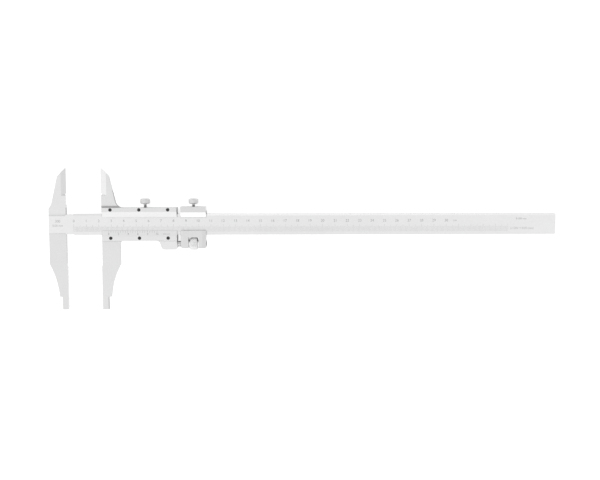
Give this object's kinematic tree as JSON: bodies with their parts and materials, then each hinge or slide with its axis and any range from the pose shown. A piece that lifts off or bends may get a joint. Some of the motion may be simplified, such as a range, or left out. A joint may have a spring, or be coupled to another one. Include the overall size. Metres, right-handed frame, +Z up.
{
  "type": "vernier caliper",
  "caption": "Long vernier caliper with fine-feed carriage, knife-edge upper jaws and nib-ended lower jaws for outside and inside measuring.",
  "frame": {"origin": "middle of the box along X and Y, on the surface the caliper lies on", "axes": "+X along the beam away from the jaws, +Y towards the knife-edge jaws, +Z up from the slider's back towards the scale"},
  "size_m": [0.4086, 0.1152, 0.0103],
  "materials": {
    "beam_steel": "satin, fine grain along the beam",
    "slider_steel": "satin, ground",
    "satin_chrome": "glare-free satin chrome with engraved black scale",
    "blackened_steel": "black oxide",
    "screw_steel": "cut thread, lightly oiled",
    "knurled_steel": "fine knurl",
    "brass": "turned",
    "spring_steel": "polished strip"
  },
  "bodies": {
    "beam": {"beam": "beam_steel", "beam_stop_screw": "blackened_steel"},
    "slider": {"slider_body": "slider_steel", "keeper_plate": "slider_steel", "vernier_plate": "satin_chrome", "keeper_plate_screw_1": "blackened_steel", "keeper_plate_screw_2": "blackened_steel", "keeper_plate_screw_3": "blackened_steel", "vernier_plate_screw_1": "blackened_steel", "vernier_plate_screw_2": "blackened_steel", "vernier_plate_screw_3": "blackened_steel", "slider_gib_spring": "spring_steel", "feed_screw": "screw_steel", "feed_screw_pin": "screw_steel"},
    "slider_pad": {"slider_lock_pad": "brass"},
    "slider_lock": {"slider_lock_screw": "knurled_steel"},
    "clamp": {"clamp_body": "slider_steel", "clamp_gib_spring": "spring_steel"},
    "clamp_pad": {"clamp_lock_pad": "brass"},
    "clamp_lock": {"clamp_lock_screw": "knurled_steel"},
    "nut": {"feed_nut": "knurled_steel"}
  },
  "joints": [
    {"name": "slider_slide", "type": "slide", "parent": "beam", "child": "slider", "axis": [1, 0, 0], "range_m": [-0.0277, 0.2723]},
    {"name": "fine_feed", "type": "slide", "parent": "slider", "child": "clamp", "axis": [1, 0, 0], "range_m": [-0.0025, 0.0045]},
    {"name": "feed_nut_turn", "type": "hinge", "parent": "clamp", "child": "nut", "pos_m": [-0.08803, -0.00415, 0.0051], "axis": [1, 0, 0], "range_deg": [-1126, 2026]},
    {"name": "slider_lock_travel", "type": "slide", "parent": "slider", "child": "slider_pad", "axis": [0, 1, 0], "range_m": [-0.000056, 0.00045]},
    {"name": "slider_lock_turn", "type": "hinge", "parent": "slider_pad", "child": "slider_lock", "pos_m": [-0.1269, 0.02815, 0.005], "axis": [0, 1, 0], "range_deg": [-46, 361]},
    {"name": "clamp_lock_travel", "type": "slide", "parent": "clamp", "child": "clamp_pad", "axis": [0, 1, 0], "range_m": [-0.000056, 0.00045]},
    {"name": "clamp_lock_turn", "type": "hinge", "parent": "clamp_pad", "child": "clamp_lock", "pos_m": [-0.0881, 0.02815, 0.005], "axis": [0, 1, 0], "range_deg": [-46, 361]}
  ],
  "couplings": [
    {"joint": "feed_nut_turn", "follows": "fine_feed", "rad_per_m": 7854},
    {"joint": "slider_lock_turn", "follows": "slider_lock_travel", "rad_per_m": 13963},
    {"joint": "clamp_lock_turn", "follows": "clamp_lock_travel", "rad_per_m": 13963}
  ]
}
